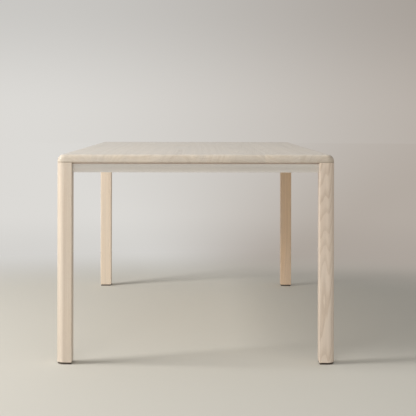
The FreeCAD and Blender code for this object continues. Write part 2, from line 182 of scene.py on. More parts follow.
figure, wood, figured = open_group(
    "ash_figure", "ShaderNodeTree",
    {
        "Place": "Vector", "End grain": "Float", "Heart across": "Float", "Heart through": "Float",
        "Lean": "Float", "Ring width": "Float", "Ring strength": "Float", "Tone": "Float", "Seed": "Float",
        "Pale wood": "Color", "Ring wood": "Color",
    },
    {"Colour": "Color", "Roughness": "Float", "Height": "Float"},
)
place, end_grain = wood["Place"], wood["End grain"]
own = add(figure, "ShaderNodeSeparateXYZ", {0: place}).outputs
start = add(figure, "ShaderNodeCombineXYZ", {axis: wood["Seed"] for axis in "XYZ"}).outputs[0]
wander = speckle(figure, place, HEART_SPOTS, start)["Color"]
wander = add(figure, "ShaderNodeSeparateXYZ", {0: wander}).outputs
heart_across = raised(figure, wood["Heart across"], wander[0], HEART_WANDER)
heart_through = raised(figure, wood["Heart through"], own[0], wood["Lean"])
heart_through = raised(figure, heart_through, wander[1], HEART_WANDER)
heart = {"X": own[0], "Y": heart_across, "Z": heart_through}
heart = add(figure, "ShaderNodeCombineXYZ", heart).outputs[0]
radius = add(figure, "ShaderNodeVectorMath", {0: place, 1: heart}, operation="DISTANCE").outputs["Value"]
radius = raised(figure, radius, speckle(figure, place, RIPPLE_SPOTS, start, detail=2.0)[0], RIPPLE_HEIGHT)
season = {"W": raised(figure, wood["Seed"], radius, SEASON_SPOTS), "Scale": 1.0}
season = add(figure, "ShaderNodeTexNoise", season, noise_dimensions="1D").outputs[0]
years = raised(figure, reckon(figure, "DIVIDE", radius, wood["Ring width"]), season, SEASON_SWAY)
year_part = reckon(figure, "FRACT", years)
year = reckon(figure, "FLOOR", years)
year_strength = add(figure, "ShaderNodeTexWhiteNoise", {"W": year}, noise_dimensions="1D").outputs[0]
spring = between(figure, year_part, *SPRING_ENDS, 1.0, 0.0)
spring = reckon(figure, "MULTIPLY", spring, between(figure, year_part, *SPRING_STARTS, 0.0, 1.0))
band = reckon(figure, "MULTIPLY", spring, raised(figure, YEAR_LEAST, year_strength, YEAR_SPREAD))
band = raised(figure, band, between(figure, season, *DARK_SEASONS, 0.0, 1.0), DARK_SEASON_SHARE)
band = reckon(figure, "MULTIPLY", band, wood["Ring strength"])
band = reckon(figure, "MULTIPLY", band, raised(figure, 1.0, end_grain, END_RING_SHARE))
streak = speckle(figure, place, STREAK_SPOTS, start, detail=3.0)[0]
cloud = speckle(figure, place, CLOUD_SPOTS, start, detail=2.0)[0]
fibre = speckle(figure, place, FIBRE_SPOTS, start)[0]
pore = between(figure, speckle(figure, place, PORE_SPOTS, start)[0], *PORE_RIM, 0.0, 1.0)
pore = reckon(figure, "MULTIPLY", pore, raised(figure, PORES_ALWAYS, spring, PORES_IN_SPRING))
grown = blend(figure, band, wood["Pale wood"], wood["Ring wood"])
light = swayed(figure, wood["Tone"], streak, raised(figure, STREAK_SHARE, end_grain, END_STREAK_SHARE))
light = swayed(figure, light, cloud, CLOUD_SHARE)
light = raised(figure, light, pore, PORE_SHARE)
light = swayed(figure, light, fibre, FIBRE_SHARE)
light = raised(figure, light, end_grain, END_SHARE)
tint = swayed(figure, 1.0, cloud, CLOUD_TINT)
toned = add(figure, "ShaderNodeHueSaturation", {"Saturation": tint, "Value": light, "Color": grown})
figure.links.new(toned.outputs[0], figured["Colour"])
rough = raised(figure, WOOD_ROUGHNESS, cloud, CLOUD_ROUGHNESS)
rough = raised(figure, rough, pore, PORE_ROUGHNESS)
figure.links.new(raised(figure, rough, end_grain, END_ROUGHNESS), figured["Roughness"])
relief = raised(figure, reckon(figure, "MULTIPLY", fibre, FIBRE_HEIGHT), pore, PORE_HEIGHT)
figure.links.new(raised(figure, relief, band, RING_HEIGHT), figured["Height"])

# Where sanding and hands rub a piece: its edges, wherever two faces of its box are near
RUB_PATCHES = ((14.0, 14.0, 14.0), (3.0, 5.0, 7.0), 3.0)
RUB_UNEVEN = (0.30, 0.62)
RUB_LEAST = 0.35
edge_rub, box_place, rubbed = open_group(
    "edge_rub", "ShaderNodeTree",
    {"Place": "Vector", "Half size": "Vector", "Reach": "Float"}, {"Mask": "Float"},
)
outward = add(edge_rub, "ShaderNodeVectorMath", {0: box_place["Place"]}, operation="ABSOLUTE").outputs[0]
inset = {0: box_place["Half size"], 1: outward}
inset = add(edge_rub, "ShaderNodeVectorMath", inset, operation="SUBTRACT").outputs[0]
inset = add(edge_rub, "ShaderNodeSeparateXYZ", {0: inset}).outputs
nearer = reckon(edge_rub, "MINIMUM", inset[0], inset[1])
farther = reckon(edge_rub, "MAXIMUM", inset[0], inset[1])
second = reckon(edge_rub, "MAXIMUM", nearer, reckon(edge_rub, "MINIMUM", farther, inset[2]))
uneven = speckle(edge_rub, box_place["Place"], *RUB_PATCHES)[0]
uneven = between(edge_rub, uneven, *RUB_UNEVEN, RUB_LEAST, 1.0)
near_edge = reckon(edge_rub, "DIVIDE", second, box_place["Reach"])
near_edge = between(edge_rub, near_edge, 0.0, 1.0, 1.0, 0.0)
edge_rub.links.new(reckon(edge_rub, "MULTIPLY", near_edge, uneven), rubbed["Mask"])


def dress(material, *names):
    """Gives CAD nodes one material."""
    for name in names:
        cad[name].data.materials.clear()
        cad[name].data.materials.append(material)


def middle_and_half(*names):
    """The middle and the half size of the box round some CAD nodes."""
    boxes = [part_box(name) for name in names]
    low = Vector([min(box[0][axis] for box in boxes) for axis in range(3)])
    high = Vector([max(box[1][axis] for box in boxes) for axis in range(3)])
    return (low + high) / 2, (high - low) / 2


END_GRAIN_FROM = 0.50
RUB_PALER = 0.035
RUB_SMOOTHER = -0.08
GRAIN_RELIEF = 0.5
GRAIN_DEPTH = 0.0005


def washed_ash(name, turn, grain, cut, pale, ring, ring_width, seed, rub_nodes, rub_reach, lacquer,
               strength=1.0, face_sheen=0.0):
    """Ash with a pale wash for one node, its grain along an axis, its own cut and a painted sheen on upward
    faces.
    """
    middle, _ = middle_and_half(name)
    rub_middle, rub_half = middle_and_half(*rub_nodes)
    across, through, lean, tone = cut
    material = bpy.data.materials.new("ash_" + name)
    material.use_nodes = True
    tree = material.node_tree
    surface = tree.nodes["Principled BSDF"]
    place = add(tree, "ShaderNodeTexCoord").outputs["Object"]
    in_piece = {"Vector": place, "Location": middle, "Rotation": turn}
    in_piece = add(tree, "ShaderNodeMapping", in_piece, vector_type="TEXTURE").outputs[0]
    facing = add(tree, "ShaderNodeNewGeometry").outputs["Normal"]
    along = add(tree, "ShaderNodeVectorMath", {0: facing, 1: grain}, operation="DOT_PRODUCT")
    along = reckon(tree, "ABSOLUTE", along.outputs["Value"])
    grown = {
        "Place": in_piece, "End grain": between(tree, along, END_GRAIN_FROM, 1.0, 0.0, 1.0, "LINEAR"),
        "Heart across": across, "Heart through": through, "Lean": lean, "Ring width": ring_width,
        "Ring strength": strength, "Tone": tone, "Seed": seed,
        "Pale wood": (*pale, 1.0), "Ring wood": (*ring, 1.0),
    }
    grown = add(tree, "ShaderNodeGroup", grown, node_tree=figure).outputs
    from_middle = {"Vector": place, "Location": rub_middle}
    from_middle = add(tree, "ShaderNodeMapping", from_middle, vector_type="TEXTURE").outputs[0]
    rub = {"Place": from_middle, "Half size": rub_half, "Reach": rub_reach}
    rub = add(tree, "ShaderNodeGroup", rub, node_tree=edge_rub).outputs["Mask"]
    worn = {"Value": raised(tree, 1.0, rub, RUB_PALER), "Color": grown["Colour"]}
    worn = add(tree, "ShaderNodeHueSaturation", worn).outputs[0]
    # Painted sheen: upward faces are blended towards a pale grey that stands for the lacquer's reflection
    upward = add(tree, "ShaderNodeSeparateXYZ", {0: facing}).outputs[2]
    sheened = between(tree, upward, SHEEN_FROM, 1.0, 0.0, face_sheen)
    sheened = blend(tree, sheened, worn, (*FACE_SHEEN_COLOUR, 1.0))
    tree.links.new(sheened, surface.inputs["Base Color"])
    smoother = raised(tree, grown["Roughness"], rub, RUB_SMOOTHER)
    tree.links.new(smoother, surface.inputs["Roughness"])
    surface.inputs["Coat Weight"].default_value = lacquer
    surface.inputs["Coat Roughness"].default_value = LACQUER_ROUGHNESS
    surface.inputs["Coat IOR"].default_value = LACQUER_IOR
    relief = {"Height": grown["Height"], "Strength": GRAIN_RELIEF, "Distance": GRAIN_DEPTH}
    tree.links.new(add(tree, "ShaderNodeBump", relief).outputs[0], surface.inputs["Normal"])
    dress(material, name)
    return material


boards = ["top_board_%d" % number for number in range(1, BOARD_COUNT + 1)]
for number, (name, cut) in enumerate(zip(boards, BOARD_CUTS)):
    washed_ash(
        name, ALONG_LENGTH, (0.0, 1.0, 0.0), cut, BOARD_PALE, BOARD_RING, BOARD_RING_WIDTH,
        BOARD_SEED_STEP * number + BOARD_SEED, boards, BOARD_RUB_REACH, BOARD_LACQUER, face_sheen=FACE_SHEEN,
    )

# Aprons. Four slim ash rails, planed and washed like the top but greyer in tone, butt between the
# legs under the top and set back from the legs' outer faces. Above the level of the rebate along the upper
# edge the wood is painted a darker brown, painted shade that deepens the line under the top.
APRON_PALE = (0.715, 0.685, 0.645)
APRON_RING = (0.58, 0.525, 0.46)
APRON_RING_WIDTH = 0.0030
APRON_SEED = 41.0
APRON_SEED_STEP = 5.1
REBATE_SHADE_BROWN = (0.67, 0.535, 0.455)
REBATE_LEVEL = 0.7319
REBATE_SHADE_SHARE = 0.9
SMALL_RUB_REACH = 0.005
FRAME_LACQUER = 0.3
ALONG_WIDTH = (math.radians(90), 0.0, 0.0)
ALONG_LENGTH_ON_EDGE = (math.radians(90), 0.0, math.radians(90))
# Per apron: how its wood is turned, the way its grain runs, and its cut of the tree
APRON_CUTS = {
    "apron_front": (ALONG_WIDTH, (1.0, 0.0, 0.0), (0.14, 0.03, 0.010, 1.0)),
    "apron_rear": (ALONG_WIDTH, (1.0, 0.0, 0.0), (0.02, 0.11, -0.020, 0.98)),
    "apron_left": (ALONG_LENGTH_ON_EDGE, (0.0, 1.0, 0.0), (0.12, -0.04, 0.008, 1.0)),
    "apron_right": (ALONG_LENGTH_ON_EDGE, (0.0, 1.0, 0.0), (-0.02, 0.09, 0.016, 0.99)),
}
for number, (name, (turn, grain, cut)) in enumerate(APRON_CUTS.items()):
    material = washed_ash(
        name, turn, grain, cut, APRON_PALE, APRON_RING, APRON_RING_WIDTH,
        APRON_SEED_STEP * number + APRON_SEED, [name], SMALL_RUB_REACH, FRAME_LACQUER,
    )
    tree = material.node_tree
    # Painted shade: everything above the rebate level is blended towards a darker brown
    paint = tree.nodes["Principled BSDF"].inputs["Base Color"]
    place = tree.nodes["Texture Coordinate"].outputs["Object"]
    level = add(tree, "ShaderNodeSeparateXYZ", {0: place}).outputs[2]
    rebate_shade = reckon(tree, "MULTIPLY", reckon(tree, "GREATER_THAN", level, REBATE_LEVEL), REBATE_SHADE_SHARE)
    tree.links.new(blend(tree, rebate_shade, paint.links[0].from_socket, (*REBATE_SHADE_BROWN, 1.0)), paint)

# Cross rails. Two sawn ash battens, let into the side aprons, keep the wide top flat. Nobody sees them, so
# they are left straight from the saw and thinly sealed, without the wash.
RAIL_PALE = (0.70, 0.565, 0.42)
RAIL_RING = (0.53, 0.395, 0.265)
RAIL_CUT = (0.05, 0.08, 0.02, 1.0)
RAIL_SEED = 71.0
RAIL_SEED_STEP = 6.3
RAIL_LACQUER = 0.0
SAW_MARKS = ((480.0, 8.0, 8.0), (0.0, 0.0, 0.0), 2.0)
SAW_RELIEF = 0.45
SAW_DEPTH = 0.0006
for number, name in enumerate(("cross_rail_front", "cross_rail_rear")):
    material = washed_ash(
        name, ALONG_WIDTH, (1.0, 0.0, 0.0), RAIL_CUT, RAIL_PALE, RAIL_RING, APRON_RING_WIDTH,
        RAIL_SEED_STEP * number + RAIL_SEED, [name], SMALL_RUB_REACH, RAIL_LACQUER,
    )
    tree = material.node_tree
    normal = tree.nodes["Principled BSDF"].inputs["Normal"]
    marks = speckle(tree, tree.nodes["Texture Coordinate"].outputs["Object"], *SAW_MARKS)[0]
    planed = normal.links[0].from_socket
    sawn = {"Height": marks, "Strength": SAW_RELIEF, "Distance": SAW_DEPTH, "Normal": planed}
    tree.links.new(add(tree, "ShaderNodeBump", sawn).outputs[0], normal)

# Top clips. Short strips of zinc-plated steel, cranked in a press: the lip hooks into a kerf in the apron
# and the flange takes one screw up into the top, so that the top is held down but can still swell across
# its grain.
ZINC = (0.71, 0.71, 0.70)
ZINC_WARM = (0.69, 0.64, 0.55)
PRESS_LINES = (60.0, 60.0, 1900.0)

# Zinc plating: bright but cloudy, here and there a little yellow, with fine lines from rolling or turning
ZINC_CLOUDS = ((260.0, 260.0, 260.0), (2.0, 3.0, 4.0), 4.0)
ZINC_YELLOWING = ((45.0, 45.0, 45.0), (7.0, 1.0, 5.0), 2.0)
YELLOW_RIM = (0.45, 0.75)
YELLOW_MOST = 0.7
ZINC_LEAST = 0.80
ZINC_CLOUD_SHARE = 0.36
ZINC_LINE_SHARE = 0.10
ZINC_ROUGHNESS = 0.18
ZINC_CLOUD_ROUGHNESS = 0.26
ZINC_LINE_ROUGHNESS = 0.10
ZINC_CLOUD_HEIGHT = 0.4
ZINC_RELIEF = 0.35
ZINC_DEPTH = 0.0001
plate, steel, plated = open_group(
    "zinc_plate", "ShaderNodeTree",
    {"Place": "Vector", "Lines": "Vector"}, {"Colour": "Color", "Roughness": "Float", "Height": "Float"},
)
cloudy = speckle(plate, steel["Place"], *ZINC_CLOUDS)[0]
yellow = speckle(plate, steel["Place"], *ZINC_YELLOWING)[0]
lines = speckle(plate, steel["Place"], steel["Lines"], (0.0, 0.0, 0.0), detail=2.0)[0]
yellow = between(plate, yellow, *YELLOW_RIM, 0.0, YELLOW_MOST)
metal = blend(plate, yellow, (*ZINC, 1.0), (*ZINC_WARM, 1.0))
bright = raised(plate, ZINC_LEAST, cloudy, ZINC_CLOUD_SHARE)
bright = swayed(plate, bright, lines, ZINC_LINE_SHARE)
metal = add(plate, "ShaderNodeHueSaturation", {"Value": bright, "Color": metal}).outputs[0]
plate.links.new(metal, plated["Colour"])
dull = raised(plate, ZINC_ROUGHNESS, cloudy, ZINC_CLOUD_ROUGHNESS)
plate.links.new(raised(plate, dull, lines, ZINC_LINE_ROUGHNESS), plated["Roughness"])
plate.links.new(raised(plate, lines, cloudy, ZINC_CLOUD_HEIGHT), plated["Height"])


def zinc_steel(name, lines):
    """Zinc-plated steel with its working lines at so many to the metre along each axis."""
    material = bpy.data.materials.new(name)
    material.use_nodes = True
    tree = material.node_tree
    surface = tree.nodes["Principled BSDF"]
    surface.inputs["Metallic"].default_value = 1.0
    place = add(tree, "ShaderNodeTexCoord").outputs["Object"]
    coat = add(tree, "ShaderNodeGroup", {"Place": place, "Lines": lines}, node_tree=plate).outputs
    tree.links.new(coat["Colour"], surface.inputs["Base Color"])
    tree.links.new(coat["Roughness"], surface.inputs["Roughness"])
    relief = {"Height": coat["Height"], "Strength": ZINC_RELIEF, "Distance": ZINC_DEPTH}
    tree.links.new(add(tree, "ShaderNodeBump", relief).outputs[0], surface.inputs["Normal"])
    return material


pressed_zinc = zinc_steel("pressed_zinc", PRESS_LINES)
dress(pressed_zinc, "top_clips")

# Clip screws. Pan-head wood screws, cold-formed and thread-rolled, with a cross recess. One goes up through
# each clip into the underside of the top.
SCREW_HEAD_HEIGHT = 0.0028
SCREW_HEAD_ROUND = 0.0016
SCREW_SHANK = 0.004
SCREW_SHANK_SIDES = 12
SCREW_PITCH = 0.0018
SCREW_THREAD_DEPTH = 0.0006
SCREW_THREAD_ROOT = 0.5
SCREW_ROWS_PER_TURN = 6
SCREW_POINT = 0.005
SCREW_POINT_SHARE = 0.1
SHANK_IN_HEAD_SHARE = 0.3
CROSS_LENGTH = 0.0044
CROSS_WIDTH = 0.0010
CROSS_DEPTH = 0.0015
BUTTON_SIDES = 28
BUTTON_ROWS = 10
CREASE_ANGLE = math.radians(35)
TURNED_LINES = (700.0, 700.0, 700.0)
turned_zinc = zinc_steel("turned_zinc", TURNED_LINES)

# A turned bar that stands on the origin, with a cone at either end and a rolled thread that may be left out
NO_THREAD = {"Depth": 0.0, "Root": 0.0, "Pitch": 1.0}
NO_CONES = {"Point": 0.0, "Point_share": 1.0, "End": 0.0, "End_share": 1.0}
bar, bar_size, barred = open_group(
    "turned_bar", "GeometryNodeTree",
    {
        "Radius": "Float", "Depth": "Float", "Root": "Float", "Pitch": "Float", "Length": "Float",
        "Point": "Float", "Point share": "Float", "End": "Float", "End share": "Float",
        "Sides": "Int", "Rows": "Int",
    },
    {"Mesh": "Geometry"},
)


def reach_out(tree, shape, spot, reach, height):
    """A shape of radius 1 with every point at another distance from the Z axis and at another height."""
    moved = {axis: reckon(tree, "MULTIPLY", spot[axis], reach) for axis in "XY"}
    moved = add(tree, "ShaderNodeCombineXYZ", {**moved, "Z": height}).outputs[0]
    return add(tree, "GeometryNodeSetPosition", {"Geometry": shape, "Position": moved}).outputs[0]


stock = {"Vertices": bar_size["Sides"], "Side Segments": bar_size["Rows"], "Depth": bar_size["Length"]}
stock = add(bar, "GeometryNodeMeshCylinder", {**stock, "Radius": 1.0}).outputs["Mesh"]
spot = add(bar, "ShaderNodeSeparateXYZ", {0: add(bar, "GeometryNodeInputPosition").outputs[0]}).outputs
height = raised(bar, spot["Z"], bar_size["Length"], 0.5)
winding = reckon(bar, "DIVIDE", reckon(bar, "ARCTAN2", spot["Y"], spot["X"]), 2 * math.pi)
winding = reckon(bar, "SUBTRACT", reckon(bar, "DIVIDE", height, bar_size["Pitch"]), winding)
crest = reckon(bar, "MULTIPLY", reckon(bar, "PINGPONG", winding, 0.5), 2.0)
crest = between(bar, crest, bar_size["Root"], 1.0, 0.0, 1.0, "LINEAR")
reach = reckon(bar, "SUBTRACT", bar_size["Radius"], bar_size["Depth"])
reach = raised(bar, reach, crest, bar_size["Depth"])
cone = between(bar, height, 0.0, bar_size["Point"], bar_size["Point share"], 1.0, "LINEAR")
from_end = reckon(bar, "SUBTRACT", bar_size["Length"], height)
end_cone = between(bar, from_end, 0.0, bar_size["End"], bar_size["End share"], 1.0, "LINEAR")
reach = reckon(bar, "MULTIPLY", reach, reckon(bar, "MULTIPLY", cone, end_cone))
bar.links.new(reach_out(bar, stock, spot, reach, height), barred["Mesh"])

# A turned button standing on the origin, with its upper edge rounded over
button, button_size, buttoned = open_group(
    "turned_button", "GeometryNodeTree",
    {"Radius": "Float", "Height": "Float", "Round": "Float"}, {"Mesh": "Geometry"},
)
disc = {"Vertices": BUTTON_SIDES, "Side Segments": BUTTON_ROWS, "Depth": button_size["Height"]}
disc = add(button, "GeometryNodeMeshCylinder", {**disc, "Radius": 1.0}).outputs["Mesh"]
spot = add(button, "ShaderNodeSeparateXYZ", {0: add(button, "GeometryNodeInputPosition").outputs[0]}).outputs
height = raised(button, spot["Z"], button_size["Height"], 0.5)
shoulder = reckon(button, "SUBTRACT", button_size["Height"], button_size["Round"])
rise = reckon(button, "DIVIDE", reckon(button, "SUBTRACT", height, shoulder), button_size["Round"])
rise = reckon(button, "MAXIMUM", rise, 0.0)
fall = reckon(button, "SUBTRACT", 1.0, reckon(button, "MULTIPLY", rise, rise))
fall = reckon(button, "SUBTRACT", 1.0, reckon(button, "SQRT", reckon(button, "MAXIMUM", fall, 0.0)))
fall = reckon(button, "MULTIPLY", fall, button_size["Round"])
reach = reckon(button, "SUBTRACT", button_size["Radius"], fall)
button.links.new(reach_out(button, disc, spot, reach, height), buttoned["Mesh"])


def made_by(tree, group, **sizes):
    """A shape made by another geometry group. Underscores stand for spaces in the names of its sizes."""
    named = {key.replace("_", " "): value for key, value in sizes.items()}
    return add(tree, "GeometryNodeGroup", named, node_tree=group).outputs["Mesh"]


def lifted(tree, shape, height):
    """A shape moved up along +Z."""
    up = add(tree, "ShaderNodeCombineXYZ", {"Z": height}).outputs[0]
    return add(tree, "GeometryNodeTransform", {"Geometry": shape, "Translation": up}).outputs[0]


def cut_or_join(tree, operation, first, *others):
    """One closed shape from several, by cutting, joining or keeping what they share."""
    merged = add(tree, "GeometryNodeMeshBoolean", operation=operation, solver="MANIFOLD")
    if operation == "DIFFERENCE":
        tree.links.new(first, merged.inputs["Mesh 1"])
    else:
        others = (first, *others)
    for other in others:
        tree.links.new(other, merged.inputs["Mesh 2"])
    return merged.outputs["Mesh"]


def set_out(tree, sizes, shape, filled):
    """Puts a shape on every seat, facing as it does and spun at random, as one mesh of one material."""
    facing = add(tree, "GeometryNodeInputNamedAttribute", {"Name": "facing"}, data_type="FLOAT_VECTOR")
    aligned = {"Vector": facing.outputs[0]}
    aligned = add(tree, "FunctionNodeAlignRotationToVector", aligned, axis="Z").outputs[0]
    spin = add(tree, "FunctionNodeRandomValue", {2: 0.0, 3: 2 * math.pi, "Seed": sizes["Seed"]}).outputs[1]
    spin = add(tree, "FunctionNodeAxisAngleToRotation", {"Axis": (0.0, 0.0, 1.0), "Angle": spin}).outputs[0]
    spun = {"Rotation": aligned, "Rotate By": spin}
    spun = add(tree, "FunctionNodeRotateRotation", spun, rotation_space="LOCAL").outputs[0]
    placed = {"Points": sizes["Seats"], "Instance": shape, "Rotation": spun}
    placed = add(tree, "GeometryNodeInstanceOnPoints", placed).outputs[0]
    whole = add(tree, "GeometryNodeRealizeInstances", {"Geometry": placed}).outputs[0]
    whole = {"Geometry": whole, "Material": sizes["Material"]}
    tree.links.new(add(tree, "GeometryNodeSetMaterial", whole).outputs[0], filled["Mesh"])


SEAT_SOCKETS = {"Seats": "Geometry", "Seed": "Int", "Material": "Material"}
screw, screw_size, screwed = open_group(
    "pan_head_screw", "GeometryNodeTree",
    {
        **SEAT_SOCKETS, "Head radius": "Float", "Head height": "Float", "Head round": "Float",
        "Shank": "Float", "Thread depth": "Float", "Pitch": "Float", "Length": "Float", "Point": "Float",
        "Rows": "Int", "Cross length": "Float", "Cross width": "Float", "Cross depth": "Float",
    },
    {"Mesh": "Geometry"},
)
head = made_by(
    screw, button, Radius=screw_size["Head radius"], Height=screw_size["Head height"],
    Round=screw_size["Head round"],
)
into_head = reckon(screw, "MULTIPLY", screw_size["Head height"], SHANK_IN_HEAD_SHARE)
shank = made_by(
    screw, bar, Radius=reckon(screw, "MULTIPLY", screw_size["Shank"], 0.5), Depth=screw_size["Thread depth"],
    Root=SCREW_THREAD_ROOT, Pitch=screw_size["Pitch"],
    Length=reckon(screw, "ADD", screw_size["Length"], into_head), Point=screw_size["Point"],
    Point_share=SCREW_POINT_SHARE, End=into_head, End_share=1.0, Sides=SCREW_SHANK_SIDES,
    Rows=screw_size["Rows"],
)
shank = lifted(screw, shank, reckon(screw, "MULTIPLY", screw_size["Length"], -1.0))
slots = []
for along in "XY":
    span = {axis: screw_size["Cross length" if axis == along else "Cross width"] for axis in "XY"}
    span["Z"] = reckon(screw, "MULTIPLY", screw_size["Cross depth"], 2.0)
    slot = add(screw, "GeometryNodeMeshCube", {"Size": add(screw, "ShaderNodeCombineXYZ", span).outputs[0]})
    slots.append(lifted(screw, slot.outputs["Mesh"], screw_size["Head height"]))
shaped = cut_or_join(screw, "DIFFERENCE", cut_or_join(screw, "UNION", head, shank), *slots)
set_out(screw, screw_size, shaped, screwed)


WELD_DISTANCE = 1e-6


def solids_of(name):
    """The low and high corners of each separate solid of a CAD node."""
    whole = bmesh.new()
    whole.from_mesh(cad[name].data)
    bmesh.ops.remove_doubles(whole, verts=whole.verts, dist=WELD_DISTANCE)
    seen = set()
    corners = []
    for start in whole.verts:
        if start.index in seen:
            continue
        reached = [start]
        seen.add(start.index)
        for point in reached:
            for edge in point.link_edges:
                other = edge.other_vert(point)
                if other.index not in seen:
                    seen.add(other.index)
                    reached.append(other)
        places = [point.co for point in reached]
        low = Vector([min(place[axis] for place in places) for axis in range(3)])
        high = Vector([max(place[axis] for place in places) for axis in range(3)])
        corners.append((low, high))
    whole.free()
    return corners


def grow(name, tree, seats, sizes, material, body, *replaced):
    """Runs a geometry tree over seats, each a place and a facing, and keeps the result as one plain mesh."""
    bed = bpy.data.meshes.new(name + "_seats")
    bed.from_pydata([place for place, _ in seats], [], [])
    facing = bed.attributes.new("facing", "FLOAT_VECTOR", "POINT")
    for row, (_, way) in zip(facing.data, seats):
        row.vector = way
    piece = bpy.data.objects.new(name, bed)
    bpy.context.scene.collection.objects.link(piece)
    grower = piece.modifiers.new("grow", "NODES")
    grower.node_group = tree
    given = {**sizes, "Material": material}
    for socket in tree.interface.items_tree:
        if socket.in_out == "INPUT" and socket.name in given:
            grower[socket.identifier] = given[socket.name]
    shown = piece.evaluated_get(bpy.context.evaluated_depsgraph_get())
    piece.data = bpy.data.meshes.new_from_object(shown)
    piece.data.name = name
    piece.modifiers.remove(grower)
    piece.data.attributes.remove(piece.data.attributes["facing"])
    piece.data.materials.clear()
    piece.data.materials.append(material)
    piece.data.polygons.foreach_set("use_smooth", [True] * len(piece.data.polygons))
    piece.data.set_sharp_from_angle(angle=CREASE_ANGLE)
    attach(piece, body)
    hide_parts(*replaced)


def wood_screws(name, node, seed):
    """Wood screws in place of one CAD node, with their heads towards the table's middle or downwards."""
    seats = []
    for low, high in solids_of(node):
        span = high - low
        axis = max(range(3), key=lambda i: span[i])
        place = (low + high) / 2
        way = Vector((0.0, 0.0, 0.0))
        way[axis] = -1.0 if place[axis] > 0 else 1.0
        place[axis] = (high if way[axis] > 0 else low)[axis] - way[axis] * SCREW_HEAD_HEIGHT
        seats.append((place, way))
    length = max(span) - SCREW_HEAD_HEIGHT
    sizes = {
        "Seed": seed, "Head radius": min(span) / 2, "Head height": SCREW_HEAD_HEIGHT,
        "Head round": SCREW_HEAD_ROUND, "Shank": SCREW_SHANK, "Thread depth": SCREW_THREAD_DEPTH,
        "Pitch": SCREW_PITCH, "Length": length, "Point": SCREW_POINT,
        "Rows": round(length / SCREW_PITCH * SCREW_ROWS_PER_TURN), "Cross length": CROSS_LENGTH,
        "Cross width": CROSS_WIDTH, "Cross depth": CROSS_DEPTH,
    }
    grow(name, screw, seats, sizes, turned_zinc, "table", node)


wood_screws("clip_screw_set", "top_clip_screws", seed=11)

# Cross-rail screws and washers. The same screws, longer, each on a plain stamped washer at the bottom of a
# slotted counterbore, one under each board.
dress(pressed_zinc, "cross_rail_washers")
wood_screws("rail_screw_set", "cross_rail_screws", seed=12)

# Corner brackets. Strips of thicker plated steel, bent across each corner of the frame, whose lips are keyed
# into saw kerfs in the aprons. Two screws hold each wing.
CORNERS = {"front_left": (-1, -1), "front_right": (1, -1), "rear_right": (1, 1), "rear_left": (-1, 1)}
for corner in CORNERS:
    dress(pressed_zinc, "corner_bracket_" + corner)
wood_screws("bracket_screw_set", "bracket_screws", seed=13)

# Legs. Square ash posts, flush with the edges of the top, whose one large outer corner follows the corner of
# the top. Each is cut from its own plank: straight grain on one face, arched grain on the next.
LEG_RING_WIDTH = 0.0032
LEG_SEED = 90.0
LEG_SEED_STEP = 4.3
UPRIGHT = (math.radians(-90), math.radians(-90), 0.0)
# Per leg: its cut of the tree, its pale wood, its ring wood and how strongly the rings show
LEG_CUTS = {
    "leg_front_left": ((-0.150, 0.020, 0.004, 1.0), (0.755, 0.655, 0.55), (0.615, 0.505, 0.40), 0.9),
    "leg_front_right": ((-0.030, 0.022, 0.040, 0.97), (0.80, 0.675, 0.56), (0.63, 0.50, 0.39), 0.75),
    # The rear right leg's warmer, more orange colours are partly its own wood and partly painted warm bounce
    # light from the shade under the top
    "leg_rear_right": ((0.120, 0.040, 0.010, 0.97), (0.88, 0.665, 0.475), (0.705, 0.505, 0.345), 1.0),
    "leg_rear_left": ((0.140, -0.020, 0.008, 1.0), (0.855, 0.73, 0.595), (0.69, 0.56, 0.44), 0.75),
}
for number, (name, (cut, pale, ring, strength)) in enumerate(LEG_CUTS.items()):
    washed_ash(
        name, UPRIGHT, (0.0, 0.0, 1.0), cut, pale, ring, LEG_RING_WIDTH,
        LEG_SEED_STEP * number + LEG_SEED, [name], SMALL_RUB_REACH, FRAME_LACQUER, strength,
    )

# Hanger bolts, washers and nuts. Each bolt has a wood thread, driven square into the flat across a leg's
# inner corner, and a machine thread that passes through the bracket. A nut on a wide washer pulls the leg
# home.
BOLT_RADIUS = 0.004
BOLT_SIDES = 20
BOLT_TIP = 0.02839
BOLT_FLAT = 0.07120
BOLT_NUT_SEAT = 0.08730
BOLT_END = 0.09880
BOLT_LEVEL = 0.7185
BOLT_POINT = 0.007
BOLT_POINT_SHARE = 0.06
BOLT_CHAMFER = 0.0008
WOOD_PITCH = 0.0032
WOOD_DEPTH = 0.0011
WOOD_ROOT = 0.5
WOOD_END_SHARE = 0.7
WOOD_ROWS_PER_TURN = 8
PLAIN_RADIUS = 0.0036
PLAIN_LENGTH = 0.006
PLAIN_ROWS = 2
MACHINE_PITCH = 0.00125
MACHINE_DEPTH = 0.0007
MACHINE_ROOT = 0.1
MACHINE_END_SHARE = 0.8
MACHINE_ROWS_PER_TURN = 6
dress(pressed_zinc, "hanger_bolt_washers")

bolt, bolt_size, bolted = open_group(
    "hanger_bolt", "GeometryNodeTree",
    {
        **SEAT_SOCKETS, "Radius": "Float", "Plain radius": "Float", "Length": "Float",
        "Wood length": "Float", "Plain length": "Float", "Wood pitch": "Float", "Wood depth": "Float",
        "Point": "Float", "Machine pitch": "Float", "Machine depth": "Float", "Chamfer": "Float",
        "Wood rows": "Int", "Machine rows": "Int",
    },
    {"Mesh": "Geometry"},
)
wood_end = made_by(
    bolt, bar, Radius=bolt_size["Radius"], Depth=bolt_size["Wood depth"], Root=WOOD_ROOT,
    Pitch=bolt_size["Wood pitch"], Length=bolt_size["Wood length"], Point=bolt_size["Point"],
    Point_share=BOLT_POINT_SHARE, End=bolt_size["Chamfer"], End_share=WOOD_END_SHARE, Sides=BOLT_SIDES,
    Rows=bolt_size["Wood rows"],
)
plain_start = reckon(bolt, "SUBTRACT", bolt_size["Wood length"], bolt_size["Chamfer"])
